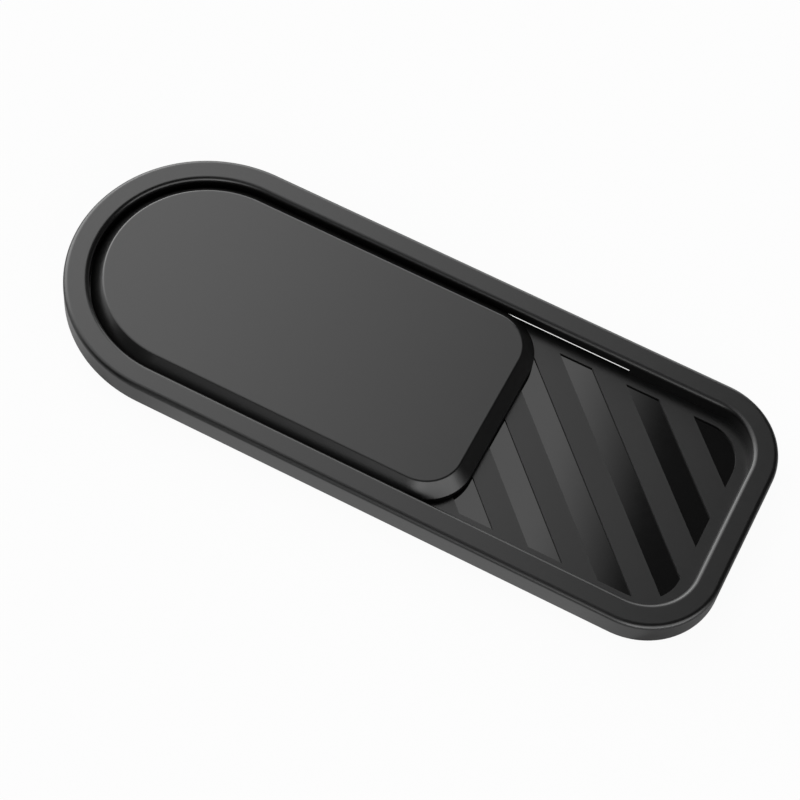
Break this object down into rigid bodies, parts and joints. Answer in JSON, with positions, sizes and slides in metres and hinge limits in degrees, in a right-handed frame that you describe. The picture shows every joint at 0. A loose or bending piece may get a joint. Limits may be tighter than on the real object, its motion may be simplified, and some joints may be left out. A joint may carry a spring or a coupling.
{
  "type": "webcam cover slider",
  "caption": "Thin D-shaped black plastic webcam cover: a bevelled slider runs in a rimmed tray over a round lens window, beside a diagonally striped floor.",
  "frame": {"origin": "middle of the adhesive pad's underside, below the middle of the tray", "axes": "+X along the tray from its round end to its square end, the way the slider opens; +Z out of the mounting face, towards the user"},
  "size_m": [0.038, 0.015, 0.0017],
  "materials": {
    "tray_plastic": "satin black moulding with polished stripes in its floor",
    "slider_plastic": "satin black moulding",
    "adhesive_film": "soft black double-sided adhesive film"
  },
  "bodies": {
    "base": {"tray": "tray_plastic", "adhesive_pad": "adhesive_film"},
    "shutter": {"slider": "slider_plastic"}
  },
  "joints": [
    {"name": "slider_travel", "type": "slide", "parent": "base", "child": "shutter", "axis": [1, 0, 0], "range_m": [0, 0.01218]}
  ]
}
